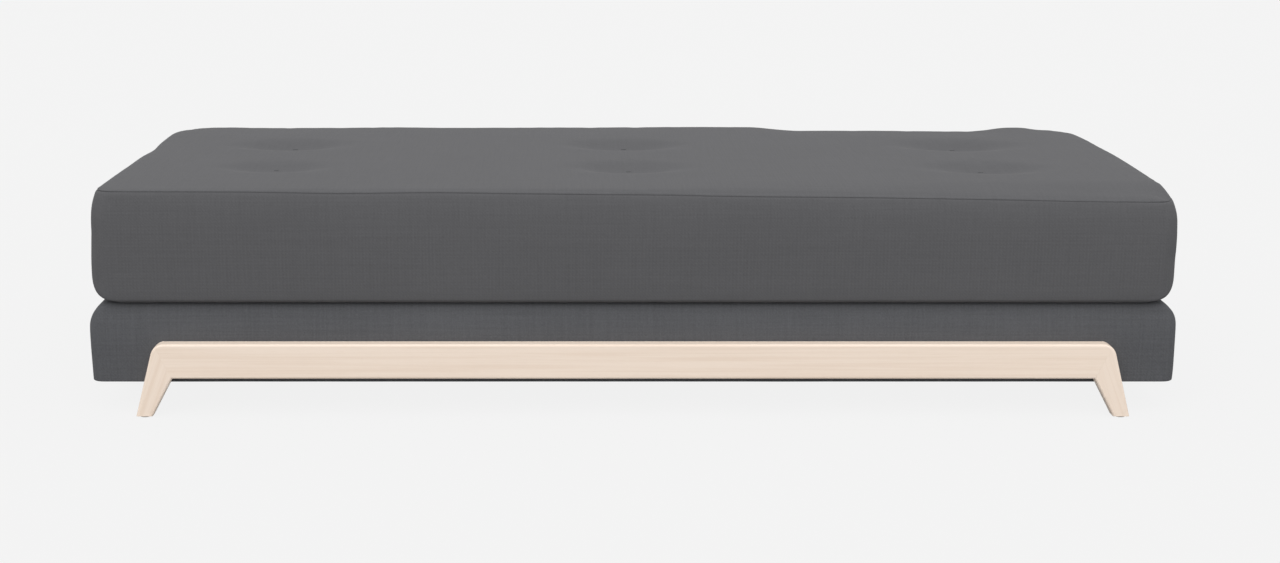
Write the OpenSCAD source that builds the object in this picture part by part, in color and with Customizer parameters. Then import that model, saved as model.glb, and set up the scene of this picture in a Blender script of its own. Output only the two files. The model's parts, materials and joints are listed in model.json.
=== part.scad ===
// Daybed that opens into a double bed. A tufted mattress is joined by a woven fold strip to the
// back edge of an upholstered, slatted base, which stands on two splayed timber leg frames.
// Millimetres, +Z up. The floor is z = 0 and the front faces -Y.

/* [Mattress] */
// Length of the mattress
mattress_l = 2000; // [1900:10:2200]
// Depth of the mattress, front to back
mattress_w = 850; // [800:10:1000]
// Thickness of the mattress at its seams
mattress_t = 200; // [170:1:201]
// Rise of the middle of the mattress above its top seam
crown = 9; // [2:1:10]
// Radius of the mattress corners, seen from above
mattress_corner_r = 50; // [34:1:60]

/* [Tufts] */
// Number of tufts along the mattress
tuft_columns = 3; // [2:1:3]
// Number of tufts across the mattress
tuft_rows = 2; // [1:1:2]
// Distance between tufts along the mattress
tuft_pitch_l = 690; // [400:10:760]
// Distance between tufts across the mattress
tuft_pitch_w = 284; // [260:2:320]
// Radius of the dimple that each tuft draws
tuft_r = 120; // [60:5:125]
// Depth of each dimple
tuft_depth = 14; // [4:1:16]

/* [Base] */
// How far the base runs past each end of the mattress
base_over = 9; // [0:1:30]
// Height of the upholstered base
base_h = 150; // [145:1:180]
// Clear height under the base
base_clear = 61; // [55:1:100]
// Radius of the base corners, seen from above
base_corner_r = 34; // [30:1:60]

/* [Leg frames] */
// Distance from the end of the base to the frame's outer top corner
frame_inset = 125; // [80:5:300]
// Height of the long rail
rail_h = 66; // [60:1:80]
// Thickness of the rail and the legs
rail_t = 28; // [24:1:32]
// How far the rail's lower edge sits above the underside of the base
rail_lift = 13; // [4:1:16]
// Width of each leg at the floor
foot_w = 30; // [26:1:40]
// Angle of each leg's outer edge from upright
outer_splay = 14.8; // [10:0.1:18]
// Angle of each leg's inner edge from upright
inner_splay = 28.1; // [22:0.1:32]
// Radius of the frame's outer top corners
frame_corner_r = 26; // [10:1:30]
// Radius to which the long edges of the rail and the legs are eased
edge_r = 4; // [1:0.5:6]

/* [Slats] */
// Number of sprung slats
slat_count = 14; // [10:1:16]
// Width of a slat
slat_w = 60; // [50:1:70]
// Thickness of a slat
slat_t = 8; // [6:1:10]

/* [Hidden] */
$fn = 48;

// Gaps and cutting allowances shared by all pieces
seat_gap = 0.3;
glue_gap = 0.1;
slide_gap = 0.2;
overrun = 5;

// Mattress form: edges, draw of the seams, padding over the core
low_edge_in = 24;
low_edge_h = 45;
low_edge_steps = 2;
high_edge_in = 7;
high_edge_h = 46;
high_edge_steps = 2;
tight_share = 0.25;
belly = 3;
seam_pull = 1;
seam_rim = 1.5;
side_pad = 12;
dimple_pad = 4;
panel_t = 2;
core_corner_r = 42;
core_low_r = 34;
core_high_r = 16;

// Where the lattice lines of a cushion lie: across its corner radius, and round each tuft
corner_shares = [0, 0.414, 1];
tuft_line_shares_l = [-1, -0.6, -0.3, 0, 0.3, 0.6, 1];
tuft_line_shares_w = [-1, -0.5, 0, 0.5, 1];
base_line_shares_l = [-0.8, -0.6, -0.4, -0.2, 0, 0.2, 0.4, 0.6, 0.8];
base_line_shares_w = [-0.6, -0.3, 0, 0.3, 0.6];
crown_power = 4;

// Tuft ties and the washers that anchor them
tie_r = 1.2;
tie_bar_r = 1.3;
tie_bar_l = 10;
tie_lift = 0.5;
knot_r = 3.5;
knot_h = 2.5;
washer_r = 12;
washer_t = 2;
washer_well = 5;

// Base form: edges, wadding, box and foam
top_edge_in = 26;
top_edge_h = 42;
top_edge_steps = 5;
hem_round = 3;
end_lean = 2;
wadding_t = 12;
foam_side_pad = 10;
foam_corner_r = 26;
foam_low_r = 6;
foam_high_r = 24;
top_wadding_t = 5;
hem_t = 1.2;
hem_w = 35;
dust_t = 0.8;
dust_inset = 20;
board_t = 18;
foam_rise = 63;

// Slats, caps and ledgers
cap_wall = 3.8;
cap_side_wall = 2.5;
cap_d = 30;
cap_end_wall = 3;
ledger_t = 20;
ledger_h = 20;
end_slat_in = 65;
bow_steps = 8;
round_steps = 4;

// Cross rails and corner blocks
cross_rail_t = 20;
block_leg = 50;

// Leg frame joints and fixings
corner_steps = 6;
ease_steps = 3;
tenon_l = 32;
tenon_w = 18;
tenon_t = 8;
bolt_columns = 4;
bolt_end_in = 110;
bolt_rise = 18;
bolt_r = 3;
bolt_head_r = 5;
bolt_head_h = 6;
hex_key_r = 2.9;
hex_key_depth = 3.5;
bolt_bite = 13;
insert_r = 4.8;
insert_l = 15;
insert_wall = 1.6;
flat_washer_r = 9;
flat_washer_t = 1.6;
glide_r = 10;
glide_t = 2.5;
pin_r = 1.5;
pin_l = 14;

// Fold strip
strip_t = 1.2;
strip_end_in = 70;
strip_relief = 2;
fold_clear = 3;

// Heights worked out from the sizes above
base_top = base_clear + base_h;
mattress_z = base_top + seat_gap;
fold_z = base_top + seat_gap / 2;
rail_z = base_clear + rail_lift;
rail_top = rail_z + rail_h;
box_z = base_clear + hem_t + glue_gap;
box_top = box_z + foam_rise + ledger_h + hem_round;
foam_z = box_top + seat_gap;
foam_top = base_top - top_wadding_t;
cap_h = slat_t + 2 * cap_wall + 2 * slide_gap;
ledger_z = box_top - 2 * slide_gap - cap_h - ledger_h;
cap_z = ledger_z + ledger_h + glue_gap;
slat_z = cap_z + cap_wall + slide_gap;
slat_bow = foam_z - seat_gap - slat_z - slat_t;
bolt_z = rail_z + bolt_rise;

// Lengths and depths worked out from the sizes above
base_l = mattress_l + 2 * base_over;
base_w = mattress_w;
core_l = mattress_l - 2 * side_pad;
core_w = mattress_w - 2 * side_pad;
core_z = mattress_z + panel_t + seat_gap;
core_top = mattress_z + mattress_t - tuft_depth - dimple_pad;
panel_in = low_edge_in + seam_rim;
box_l = base_l - 2 * (wadding_t + end_lean);
box_w = base_w - 2 * wadding_t;
inner_l = box_l - 2 * board_t;
inner_w = box_w - 2 * board_t;
foam_l = base_l - 2 * foam_side_pad;
foam_w = base_w - 2 * foam_side_pad;
slat_pitch = (inner_l - 2 * end_slat_in) / (slat_count - 1);
slat_l = inner_w - 2 * (glue_gap + cap_end_wall + slide_gap);
cap_w = slat_w + 2 * (cap_side_wall + slide_gap);
cross_rail_x = inner_l / 4;
fold_reach = (rail_t + seat_gap + fold_clear) / 2;
fold_y = base_w / 2 + fold_reach;
fold_r = strip_t + seat_gap / 2;
strip_l = mattress_l - 2 * strip_end_in;
frame_half = base_l / 2 - frame_inset;
frame_y = base_w / 2 + seat_gap;
toe_out_x = frame_half + rail_top * tan(outer_splay);
toe_in_x = toe_out_x - foot_w;
crotch_x = toe_in_x - rail_z * tan(inner_splay);
bolt_pitch = 2 * (frame_half - bolt_end_in) / (bolt_columns - 1);
arc_x = frame_half - frame_corner_r * (1 - sin(outer_splay)) / cos(outer_splay);
arc_z = rail_top - frame_corner_r;
mitre_tilt = atan2(frame_half - crotch_x, rail_h);

// Colours as the daybed shows them
fabric_grey = "#5b5b5d";
thread_grey = "#48484a";
wood_pale = "#e6d4c4";
ply_tan = "#d8bd95";
foam_cream = "#ece5cf";
steel_grey = "#a9adb1";
plastic_black = "#2b2b2d";
felt_grey = "#8d8d8f";

// Cushion forms: a lattice over a box, rounded, crowned and drawn in

// Lattice lines from one side of a cushion to the other, closer together over its corner radius
function cushion_lines(half, corner, inner) =
    let (edge = [for (s = corner_shares) half - corner + corner * s],
         between = (inner[len(inner) - 1] + edge[0]) / 2)
    concat([for (i = [len(edge) - 1 : -1 : 0]) -edge[i]], [-between], inner, [between], edge);

// Lattice lines round each tuft of a row, with one halfway between neighbours
function tuft_lines(count, pitch, shares) =
    [for (c = [0 : count - 1]) each concat(
        c > 0 ? [(c - count / 2) * pitch] : [],
        [for (s = shares) (c - (count - 1) / 2) * pitch + s * tuft_r])];

// Places of the tufts on the mattress
tufts = [for (c = [0 : tuft_columns - 1]) for (r = [0 : tuft_rows - 1])
    [(c - (tuft_columns - 1) / 2) * tuft_pitch_l, (r - (tuft_rows - 1) / 2) * tuft_pitch_w]];

// Depth of a dimple at a distance from its tuft
function dimple(d) = d < tuft_r ? tuft_depth * pow(1 - pow(d / tuft_r, 2), 2) : 0;

// Height of the mattress top over its seam
function mattress_rise(x, y) =
    crown * (1 - pow(abs(x) / (mattress_l / 2), crown_power))
          * (1 - pow(abs(y) / (mattress_w / 2), crown_power))
    - max([for (t = tufts) dimple(norm([x, y] - t))]);

// A lattice point moved onto the rounded outline of its level, drawn in by s
function plan_point(x, y, a, b, r, s) =
    let (q = [min(max(x, r - a), a - r), min(max(y, r - b), b - r)],
         v = [x, y] - q,
         n = norm(v))
    n == 0 ? q : q + v * max(abs(v[0]), abs(v[1])) / n * (r - s) / r;

// Share of the rounding that an edge gets at a point of the outline: all of it along the ends, and
// the tight share along the front and the back, where the cloth is drawn straight
function round_share(x, y, a, b, r) =
    let (v = [x, y] - [min(max(x, r - a), a - r), min(max(y, r - b), b - r)])
    tight_share + (1 - tight_share) * pow(v[0] / norm(v), 2);

// Levels of the mattress border: a height, the rise from it, draw-in, lean of the ends.
// The lower edge is rounded, and the upper one runs up to the seam in a shallow curve.
mattress_levels = concat(
    [for (i = [0 : low_edge_steps]) let (g = 90 * i / low_edge_steps)
        [0, low_edge_h * (1 - cos(g)), low_edge_in * (1 - sin(g)), 0]],
    [[mattress_t / 2, 0, 0, 0]],
    [for (i = [0 : high_edge_steps]) let (s = i / high_edge_steps)
        [mattress_t + high_edge_h * (s - 1), 0, high_edge_in * s * s, 0]]);

// Levels of the base: the hem, the upright sides and the rounded top edge
base_levels = concat(
    [[0, 0, hem_round, end_lean], [hem_round, 0, 0, end_lean], [base_h / 2, 0, 0, end_lean / 8]],
    [for (i = [0 : top_edge_steps]) let (g = 90 * i / top_edge_steps)
        [base_h, -top_edge_h * (1 - sin(g)), top_edge_in * (1 - cos(g)), 0]]);

// A closed cushion standing on z = 0. Its upper half is drawn in, most between its corners.
module cushion(half, corner, xs, ys, levels, height, pull, bow, tufted) {
    nx = len(xs) - 1;
    ny = len(ys) - 1;
    ring = 2 * (nx + ny);
    rings = len(levels);
    rim = concat(
        [for (i = [0 : nx - 1]) [xs[i], ys[0]]], [for (j = [0 : ny - 1]) [xs[nx], ys[j]]],
        [for (i = [nx : -1 : 1]) [xs[i], ys[ny]]], [for (j = [ny : -1 : 1]) [xs[0], ys[j]]]);
    border = [for (level = levels) for (p = rim)
        let (slack = max(0, 2 - pow(p[0] / half[0], 2) - pow(p[1] / half[1], 2)),
             ease = round_share(p[0], p[1], half[0], half[1], corner),
             z = level[0] + level[1] * ease,
             draw = (bow + pull * slack) * pow(max(0, 2 * z / height - 1), 2),
             at = plan_point(p[0], p[1], half[0], half[1], corner, level[2] * ease + draw))
        [at[0] * (1 - level[3] / half[0]), at[1], z]];
    last = levels[rings - 1];
    lid = [for (j = [1 : ny - 1]) for (i = [1 : nx - 1])
        let (at = plan_point(xs[i], ys[j], half[0], half[1], corner, last[2] + bow))
        [at[0], at[1], height + (tufted ? mattress_rise(xs[i], ys[j]) : 0)]];
    rim_index = function (i, j)
        j == 0 ? i : i == nx ? nx + j : j == ny ? 2 * nx + ny - i : 2 * (nx + ny) - j;
    lid_index = function (i, j)
        i == 0 || j == 0 || i == nx || j == ny
            ? (rings - 1) * ring + rim_index(i, j)
            : rings * ring + (j - 1) * (nx - 1) + i - 1;
    centre = len(border) + len(lid);
    sides = [for (k = [0 : rings - 2]) for (p = [0 : ring - 1])
        let (a = k * ring + p, b = k * ring + (p + 1) % ring)
        each [[a, b + ring, b], [a, a + ring, b + ring]]];
    top = [for (j = [0 : ny - 1]) for (i = [0 : nx - 1])
        let (a = lid_index(i, j), b = lid_index(i + 1, j),
             c = lid_index(i + 1, j + 1), d = lid_index(i, j + 1))
        each (i < nx / 2) == (j < ny / 2) ? [[a, d, b], [b, d, c]] : [[a, c, b], [a, d, c]]];
    under = [for (p = [0 : ring - 1]) [centre, p, (p + 1) % ring]];
    polyhedron(points = concat(border, lid, [[0, 0, 0]]), faces = concat(sides, top, under));
}

module mattress_form() {
    cushion([mattress_l / 2, mattress_w / 2], mattress_corner_r,
        cushion_lines(mattress_l / 2, mattress_corner_r,
            tuft_lines(tuft_columns, tuft_pitch_l, tuft_line_shares_l)),
        cushion_lines(mattress_w / 2, mattress_corner_r,
            tuft_lines(tuft_rows, tuft_pitch_w, tuft_line_shares_w)),
        mattress_levels, mattress_t, seam_pull, belly, true);
}

module base_form() {
    cushion([base_l / 2, base_w / 2], base_corner_r,
        cushion_lines(base_l / 2, base_corner_r, base_line_shares_l * base_l / 2),
        cushion_lines(base_w / 2, base_corner_r, base_line_shares_w * base_w / 2),
        base_levels, base_h, 0, 0, false);
}

// Shared shapes

// A block with rounded upright corners, centred in plan, standing on z = 0
module round_block(l, w, h, r) {
    linear_extrude(h) {
        square([l - 2 * r, w], center = true);
        square([l, w - 2 * r], center = true);
        for (sx = [-1, 1], sy = [-1, 1])
            translate([sx * (l / 2 - r), sy * (w / 2 - r)]) circle(r);
    }
}

// Outline of a block with its lower and upper corners rounded, centred, standing on y = 0
function round_profile(half, h, low_r, high_r) =
    let (side = [for (k = [0, 1]) for (i = [0 : round_steps])
        let (g = 90 * i / round_steps, r = k == 0 ? low_r : high_r)
        k == 0 ? [half - r * (1 - sin(g)), r * (1 - cos(g))]
               : [half - r * (1 - cos(g)), h - r * (1 - sin(g))]])
    concat(side, [for (i = [len(side) - 1 : -1 : 0]) [-side[i][0], side[i][1]]]);

// A cut foam block with every edge eased, centred in plan, standing on z = 0
module soft_block(size, corner_r, low_r, high_r, gap) {
    half = [size[0] / 2 + gap, size[1] / 2 + gap];
    h = size[2] + 2 * gap;
    translate([0, 0, -gap]) intersection() {
        translate([0, -half[1], 0]) linear_extrude(h)
            polygon(round_profile(half[0], 2 * half[1], corner_r + gap, corner_r + gap));
        translate([0, half[1], 0]) rotate([90, 0, 0]) linear_extrude(2 * half[1])
            polygon(round_profile(half[0], h, low_r + gap, high_r + gap));
        translate([-half[0], 0, 0]) rotate([90, 0, 90]) linear_extrude(2 * half[0])
            polygon(round_profile(half[1], h, low_r + gap, high_r + gap));
    }
}

// A rectangular bar centred in plan, standing on z = 0
module bar(l, w, h) {
    translate([-l / 2, -w / 2, 0]) cube([l, w, h]);
}

module at_tufts() {
    for (t = tufts) translate([t[0], t[1], 0]) children();
}

// Mattress

module core_space(gap) {
    translate([0, 0, core_z]) soft_block([core_l, core_w, core_top - core_z],
        core_corner_r, core_low_r, core_high_r, gap);
}

module panel_plate(gap) {
    round_block(mattress_l - 2 * (panel_in - gap), mattress_w - 2 * (panel_in - gap),
        panel_t + gap, mattress_corner_r - low_edge_in);
}

// Woven cover with its wadding, drawn into dimples by the tufts
module mattress_cover() {
    color(fabric_grey) difference() {
        translate([0, 0, mattress_z]) mattress_form();
        core_space(seat_gap);
        translate([0, 0, mattress_z - overrun]) panel_plate(seat_gap + overrun);
        translate([0, 0, mattress_z]) panel_plate(seat_gap);
        at_tufts() translate([0, 0, core_z])
            cylinder(r = tie_r + slide_gap, h = mattress_t);
    }
}

// Flat panel that closes the cover underneath
module mattress_bottom_panel() {
    color(fabric_grey) translate([0, 0, mattress_z]) panel_plate(0);
}

// Foam core, bored for the ties, with a well under each for its washer
module mattress_core() {
    color(foam_cream) difference() {
        core_space(0);
        at_tufts() translate([0, 0, core_z - overrun]) {
            cylinder(r = tie_r + slide_gap, h = mattress_t);
            cylinder(r = washer_r + slide_gap, h = washer_well + overrun);
        }
    }
}

// Stitched bar in each dimple, its twine through the core and the knot below
module tuft_ties() {
    knot_z = core_z + slide_gap;
    color(thread_grey) for (t = tufts) translate([t[0], t[1], 0]) {
        bar_z = mattress_z + mattress_t + mattress_rise(t[0], t[1]) + tie_lift + tie_bar_r;
        translate([0, 0, knot_z]) cylinder(r = knot_r, h = knot_h);
        translate([0, 0, knot_z]) cylinder(r = tie_r, h = bar_z - knot_z);
        translate([-tie_bar_l / 2, 0, bar_z]) rotate([0, 90, 0])
            cylinder(r = tie_bar_r, h = tie_bar_l);
    }
}

module tuft_washers() {
    color(felt_grey) at_tufts() translate([0, 0, core_z + washer_well - washer_t])
        difference() {
            cylinder(r = washer_r, h = washer_t);
            translate([0, 0, -overrun]) cylinder(r = tie_r + slide_gap, h = washer_t + 2 * overrun);
        }
}

// Fold strip

// Leaf sewn into the bottom seam of the mattress
module fold_strip_upper() {
    root_y = mattress_w / 2 - low_edge_in * tight_share + strip_relief;
    tip_y = fold_y - fold_r - slide_gap;
    color(thread_grey) translate([-strip_l / 2, root_y, fold_z + seat_gap / 2])
        cube([strip_l, tip_y - root_y, strip_t]);
}

// Leaf sewn to the back edge of the base, with the rolled fold that both leaves turn about
module fold_strip_lower() {
    drop = 1 - (strip_t + seat_gap) / (top_edge_h * tight_share);
    root_y = base_w / 2 - top_edge_in * tight_share * (1 - sqrt(1 - drop * drop));
    color(thread_grey) {
        translate([-strip_l / 2, root_y, fold_z - seat_gap / 2 - strip_t])
            cube([strip_l, fold_y - root_y, strip_t]);
        translate([-strip_l / 2, fold_y, fold_z]) rotate([0, 90, 0])
            cylinder(r = fold_r, h = strip_l);
    }
}

// Base

// Woven cover with its wadding, turned under the box in a hem
module base_cover() {
    color(fabric_grey) difference() {
        translate([0, 0, base_clear]) base_form();
        translate([0, 0, box_z - glue_gap])
            bar(box_l + 2 * glue_gap, box_w + 2 * glue_gap, foam_z - box_z + glue_gap);
        foam_space(seat_gap);
        translate([0, 0, base_clear - overrun])
            bar(box_l - 2 * hem_w, box_w - 2 * hem_w, hem_t + 2 * overrun);
        at_bolts() translate([0, -overrun, 0]) rotate([-90, 0, 0])
            cylinder(r = bolt_r + slide_gap, h = wadding_t + 2 * overrun);
    }
}

module foam_space(gap) {
    translate([0, 0, foam_z]) soft_block([foam_l, foam_w, foam_top - foam_z],
        foam_corner_r, foam_low_r, foam_high_r, gap);
}

module base_foam() {
    color(foam_cream) foam_space(0);
}

module dust_cover() {
    color(plastic_black) translate([0, 0, base_clear - seat_gap - dust_t])
        bar(box_l - 2 * dust_inset, box_w - 2 * dust_inset, dust_t);
}

// Side view of a slat: straight where the caps hold it, bowed upwards between them
module slat_profile() {
    free = slat_l / 2 - cap_d;
    ys = concat([-slat_l / 2], [for (i = [-bow_steps : bow_steps]) i * free / bow_steps],
        [slat_l / 2]);
    rise = [for (y = ys) slat_bow * max(0, 1 - pow(y / free, 2))];
    last = len(ys) - 1;
    polygon(concat(
        [for (i = [0 : last]) [ys[i], rise[i]]],
        [for (i = [last : -1 : 0]) [ys[i], rise[i] + slat_t]]));
}

module at_slats() {
    for (i = [0 : slat_count - 1])
        translate([(i - (slat_count - 1) / 2) * slat_pitch, 0, 0]) children();
}

module slats() {
    color(ply_tan) at_slats() translate([-slat_w / 2, 0, slat_z]) rotate([90, 0, 90])
        linear_extrude(slat_w) slat_profile();
}

// Moulded cap on each end of each slat, stapled down on its ledger
module slat_cap() {
    pocket_h = slat_t + 2 * slide_gap;
    translate([0, inner_w / 2 - glue_gap - cap_d, cap_z]) difference() {
        translate([-cap_w / 2, 0, 0]) cube([cap_w, cap_d, cap_h]);
        translate([-slat_w / 2 - slide_gap, -overrun, cap_wall])
            cube([slat_w + 2 * slide_gap, cap_d - cap_end_wall + overrun, pocket_h]);
    }
}

module slat_caps() {
    color(plastic_black) at_slats() for (side = [0, 1]) mirror([0, side, 0]) slat_cap();
}

module ledger() {
    translate([0, inner_w / 2 - glue_gap - ledger_t / 2, ledger_z])
        bar(inner_l - 2 * glue_gap, ledger_t, ledger_h);
}

module ledger_front() {
    color(ply_tan) mirror([0, 1, 0]) ledger();
}

module ledger_rear() {
    color(ply_tan) ledger();
}

// Places of the frame bolts on the front face of the front box board, and their mirror images
module at_bolts() {
    for (side = [0, 1]) mirror([0, side, 0]) for (i = [0 : bolt_columns - 1])
        translate([(i - (bolt_columns - 1) / 2) * bolt_pitch, -base_w / 2, bolt_z]) children();
}

module box_board() {
    color(ply_tan) difference() {
        translate([0, (board_t - box_w) / 2, box_z]) bar(box_l, board_t, box_top - box_z);
        at_bolts() rotate([-90, 0, 0])
            cylinder(r = bolt_r + slide_gap, h = wadding_t + board_t + overrun);
    }
}

module box_board_front() {
    box_board();
}

module box_board_rear() {
    mirror([0, 1, 0]) box_board();
}

module box_end() {
    translate([(board_t - box_l) / 2, 0, box_z])
        bar(board_t, inner_w - 2 * glue_gap, box_top - box_z);
}

module box_end_left() {
    color(ply_tan) box_end();
}

module box_end_right() {
    color(ply_tan) mirror([1, 0, 0]) box_end();
}

module cross_rail() {
    translate([-cross_rail_x, 0, box_z])
        bar(cross_rail_t, inner_w - 2 * glue_gap, ledger_z - glue_gap - box_z);
}

module cross_rail_left() {
    color(ply_tan) cross_rail();
}

module cross_rail_right() {
    color(ply_tan) mirror([1, 0, 0]) cross_rail();
}

// Glued triangular block in each corner of the box
module corner_blocks() {
    corner = [inner_l / 2 - glue_gap, inner_w / 2 - 2 * glue_gap];
    color(ply_tan) for (sx = [0, 1], sy = [0, 1]) mirror([sx, 0, 0]) mirror([0, sy, 0])
        translate([corner[0], corner[1], box_z]) linear_extrude(ledger_z - glue_gap - box_z)
            polygon([[0, 0], [-block_leg, 0], [0, -block_leg]]);
}

// Leg frames

// Outline of a whole frame, seen from the front
module frame_outline() {
    toe_out = [frame_half + (rail_top - glide_t) * tan(outer_splay), glide_t];
    toe_in = [toe_in_x - glide_t * tan(inner_splay), glide_t];
    right = concat([for (i = [corner_steps : -1 : 0]) corner_point(i)],
        [toe_out, toe_in, [crotch_x, rail_z]]);
    polygon(concat(right, [for (i = [len(right) - 1 : -1 : 0]) [-right[i][0], right[i][1]]]));
}

// Point of the right top corner's round, from the outside of the leg up to the top of the rail
function corner_point(i) =
    let (g = outer_splay + (90 - outer_splay) * i / corner_steps)
    [arc_x, arc_z] + frame_corner_r * [cos(g), sin(g)];

// The side of the right mitre that the leg is on, and the rail between both mitres
module leg_side() {
    lean = tan(mitre_tilt);
    reach = toe_out_x + overrun;
    translate([glue_gap / 2, 0]) polygon([
        [crotch_x, 0], [reach, 0], [reach, rail_top + overrun],
        [crotch_x + (rail_h + overrun) * lean, rail_top + overrun], [crotch_x, rail_z]]);
}

module rail_side() {
    lean = tan(mitre_tilt);
    foot = crotch_x - overrun * lean - glue_gap / 2;
    head = crotch_x + (rail_h + overrun) * lean - glue_gap / 2;
    polygon([[-foot, rail_z - overrun], [foot, rail_z - overrun],
        [head, rail_top + overrun], [-head, rail_top + overrun]]);
}

// Loose tenon across the right mitre, grown by a gap for its mortises
module tenon(gap) {
    wide = tenon_w - tenon_t;
    translate([(crotch_x + frame_half) / 2, -frame_y - rail_t / 2, rail_z + rail_h / 2])
        rotate([0, 90 + mitre_tilt, 0]) translate([0, 0, -tenon_l / 2 - gap])
            linear_extrude(tenon_l + 2 * gap) {
                square([wide, tenon_t + 2 * gap], center = true);
                for (side = [-1, 1]) translate([side * wide / 2, 0]) circle(tenon_t / 2 + gap);
            }
}

module frame_plate() {
    translate([0, -frame_y, 0]) rotate([90, 0, 0]) linear_extrude(rail_t) children();
}

// What easing an edge cuts away: the edge lies on the origin and the wood below and left of it
module edge_waste() {
    polygon(concat(
        [for (i = [0 : ease_steps]) let (g = 90 * i / ease_steps) edge_r * [sin(g) - 1, cos(g) - 1]],
        [[overrun, -edge_r], [overrun, overrun], [-edge_r, overrun]]));
}

// Waste of both long edges of the side from a to b of the outline, with the wood on its left.
// It runs past both ends, where the neighbouring sides fall away from it or belong to another piece.
module eased_side(a, b) {
    run = b - a;
    translate([a[0], -frame_y, a[1]]) rotate([0, -atan2(run[1], run[0]), 0])
        for (face = [0, 1]) translate([-overrun, -face * rail_t, 0]) mirror([0, face, 0])
            rotate([90, 0, 90]) linear_extrude(norm(run) + 2 * overrun)
                mirror([0, 1]) edge_waste();
}

// Waste of the eased edges round the right top corner
module eased_corner() {
    for (i = [1 : corner_steps]) eased_side(corner_point(i - 1), corner_point(i));
}

module rail() {
    color(wood_pale) difference() {
        frame_plate() intersection() {
            frame_outline();
            rail_side();
        }
        eased_side([-crotch_x, rail_z], [crotch_x, rail_z]);
        eased_side([arc_x, rail_top], [-arc_x, rail_top]);
        for (side = [0, 1]) mirror([side, 0, 0]) eased_corner();
        for (side = [0, 1]) mirror([side, 0, 0]) tenon(glue_gap);
        at_bolts() translate([0, overrun, 0]) rotate([90, 0, 0])
            cylinder(r = insert_r, h = seat_gap + insert_l + overrun);
    }
}

module leg() {
    color(wood_pale) difference() {
        frame_plate() intersection() {
            frame_outline();
            leg_side();
        }
        eased_side([crotch_x, rail_z], [toe_in_x, 0]);
        eased_side([toe_out_x, 0], corner_point(0));
        eased_corner();
        tenon(glue_gap);
        translate(glide_place()) cylinder(r = pin_r, h = pin_l + slide_gap);
    }
}

module front_rail() {
    rail();
}

module rear_rail() {
    mirror([0, 1, 0]) rail();
}

module front_leg_left() {
    mirror([1, 0, 0]) leg();
}

module front_leg_right() {
    leg();
}

module rear_leg_left() {
    mirror([1, 0, 0]) mirror([0, 1, 0]) leg();
}

module rear_leg_right() {
    mirror([0, 1, 0]) leg();
}

module leg_tenons() {
    color(ply_tan) for (sx = [0, 1], sy = [0, 1]) mirror([sx, 0, 0]) mirror([0, sy, 0]) tenon(0);
}

// Threaded sleeve pressed into the back of a rail
module frame_inserts() {
    color(steel_grey) at_bolts() translate([0, -seat_gap, 0]) rotate([90, 0, 0]) difference() {
        cylinder(r = insert_r - glue_gap / 2, h = insert_l);
        translate([0, 0, -overrun])
            cylinder(r = insert_r - insert_wall, h = insert_l + 2 * overrun);
    }
}

// Socket-headed bolt from inside the box into each insert
module frame_bolts() {
    head_y = wadding_t + board_t + flat_washer_t + 3 * glue_gap;
    color(steel_grey) at_bolts() translate([0, head_y, 0]) rotate([90, 0, 0]) difference() {
        union() {
            cylinder(r = bolt_r, h = head_y + seat_gap + bolt_bite);
            translate([0, 0, -bolt_head_h]) cylinder(r = bolt_head_r, h = bolt_head_h);
        }
        translate([0, 0, -bolt_head_h - overrun])
            cylinder(r = hex_key_r, h = hex_key_depth + overrun, $fn = 6);
    }
}

module frame_washers() {
    color(steel_grey) at_bolts() translate([0, wadding_t + board_t + glue_gap, 0])
        rotate([-90, 0, 0]) difference() {
            cylinder(r = flat_washer_r, h = flat_washer_t);
            translate([0, 0, -overrun])
                cylinder(r = bolt_r + slide_gap, h = flat_washer_t + 2 * overrun);
        }
}

// Middle of the right front foot, where its glide is driven in
function glide_place() = [
    toe_out_x - foot_w / 2 - glide_t * (tan(outer_splay) + tan(inner_splay)) / 2,
    -frame_y - rail_t / 2, glide_t];

// Nail-in glide under each foot
module foot_glides() {
    color(felt_grey) for (sx = [0, 1], sy = [0, 1]) mirror([sx, 0, 0]) mirror([0, sy, 0])
        translate([glide_place()[0], glide_place()[1], 0]) {
            cylinder(r = glide_r, h = glide_t - glue_gap);
            cylinder(r = pin_r - glue_gap / 2, h = glide_t + pin_l);
        }
}

mattress_cover();
mattress_bottom_panel();
mattress_core();
tuft_ties();
tuft_washers();
fold_strip_upper();
fold_strip_lower();
base_cover();
base_foam();
slats();
slat_caps();
ledger_front();
ledger_rear();
box_board_front();
box_board_rear();
box_end_left();
box_end_right();
cross_rail_left();
cross_rail_right();
corner_blocks();
dust_cover();
front_rail();
front_leg_left();
front_leg_right();
rear_rail();
rear_leg_left();
rear_leg_right();
leg_tenons();
frame_inserts();
frame_bolts();
frame_washers();
foot_glides();
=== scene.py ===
"""Dresses a packed daybed: cloth over foam, pale timber leg frames, a floor and a soft light.

The mattress and the base are cut as crowned cloth forms, and the mattress is let out over its
filling by a short cloth simulation with its tufts held down. Sizes are metres, or millimetres where
a name says mm.
"""

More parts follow.
